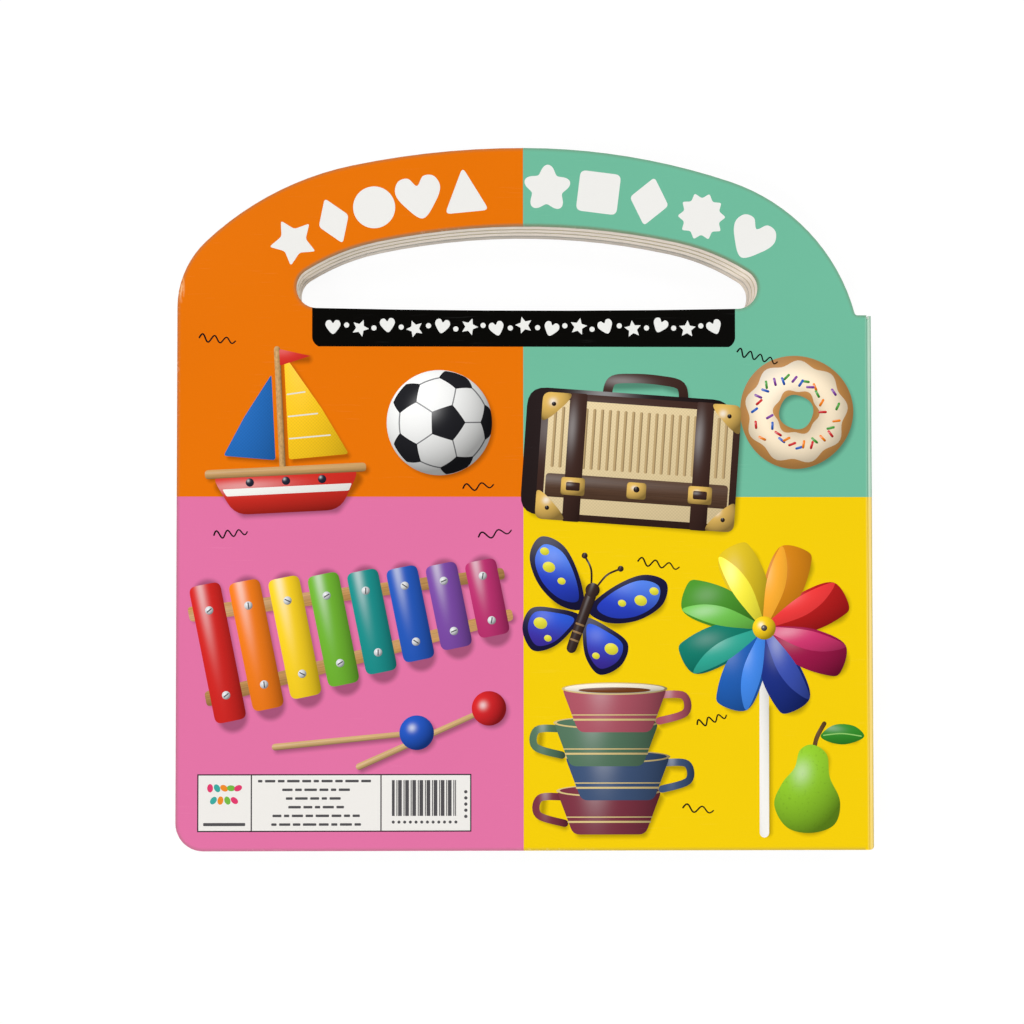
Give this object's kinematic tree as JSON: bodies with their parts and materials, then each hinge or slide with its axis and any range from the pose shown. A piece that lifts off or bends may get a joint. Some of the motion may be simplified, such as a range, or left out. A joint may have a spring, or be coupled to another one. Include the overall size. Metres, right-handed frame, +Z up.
{
  "type": "board book",
  "caption": "Thick-leaved child's board book with an arched top and a long hand slot cut through every board as a carrying handle, covers hinged at the spine.",
  "frame": {"origin": "middle of the underside of the closed book, as it lies on its front cover", "axes": "+X towards the spine, +Y towards the handle, +Z up out of the back cover"},
  "size_m": [0.251, 0.2536, 0.0121],
  "materials": {
    "cover_print": "printed board with gloss laminate",
    "spine_wrap": "printed wrap with gloss laminate",
    "page_board": "printed board, raw die-cut edges"
  },
  "bodies": {
    "pages": {"page_block": "page_board", "spine": "spine_wrap"},
    "back": {"back_cover": "cover_print"},
    "front": {"front_cover": "cover_print"}
  },
  "joints": [
    {"name": "back_cover_hinge", "type": "hinge", "parent": "pages", "child": "back", "pos_m": [0.12385, 0, 0.01205], "axis": [0, 1, 0], "range_deg": [0, 180]},
    {"name": "front_cover_hinge", "type": "hinge", "parent": "pages", "child": "front", "pos_m": [0.12385, 0, 0], "axis": [0, -1, 0], "range_deg": [0, 180]}
  ]
}
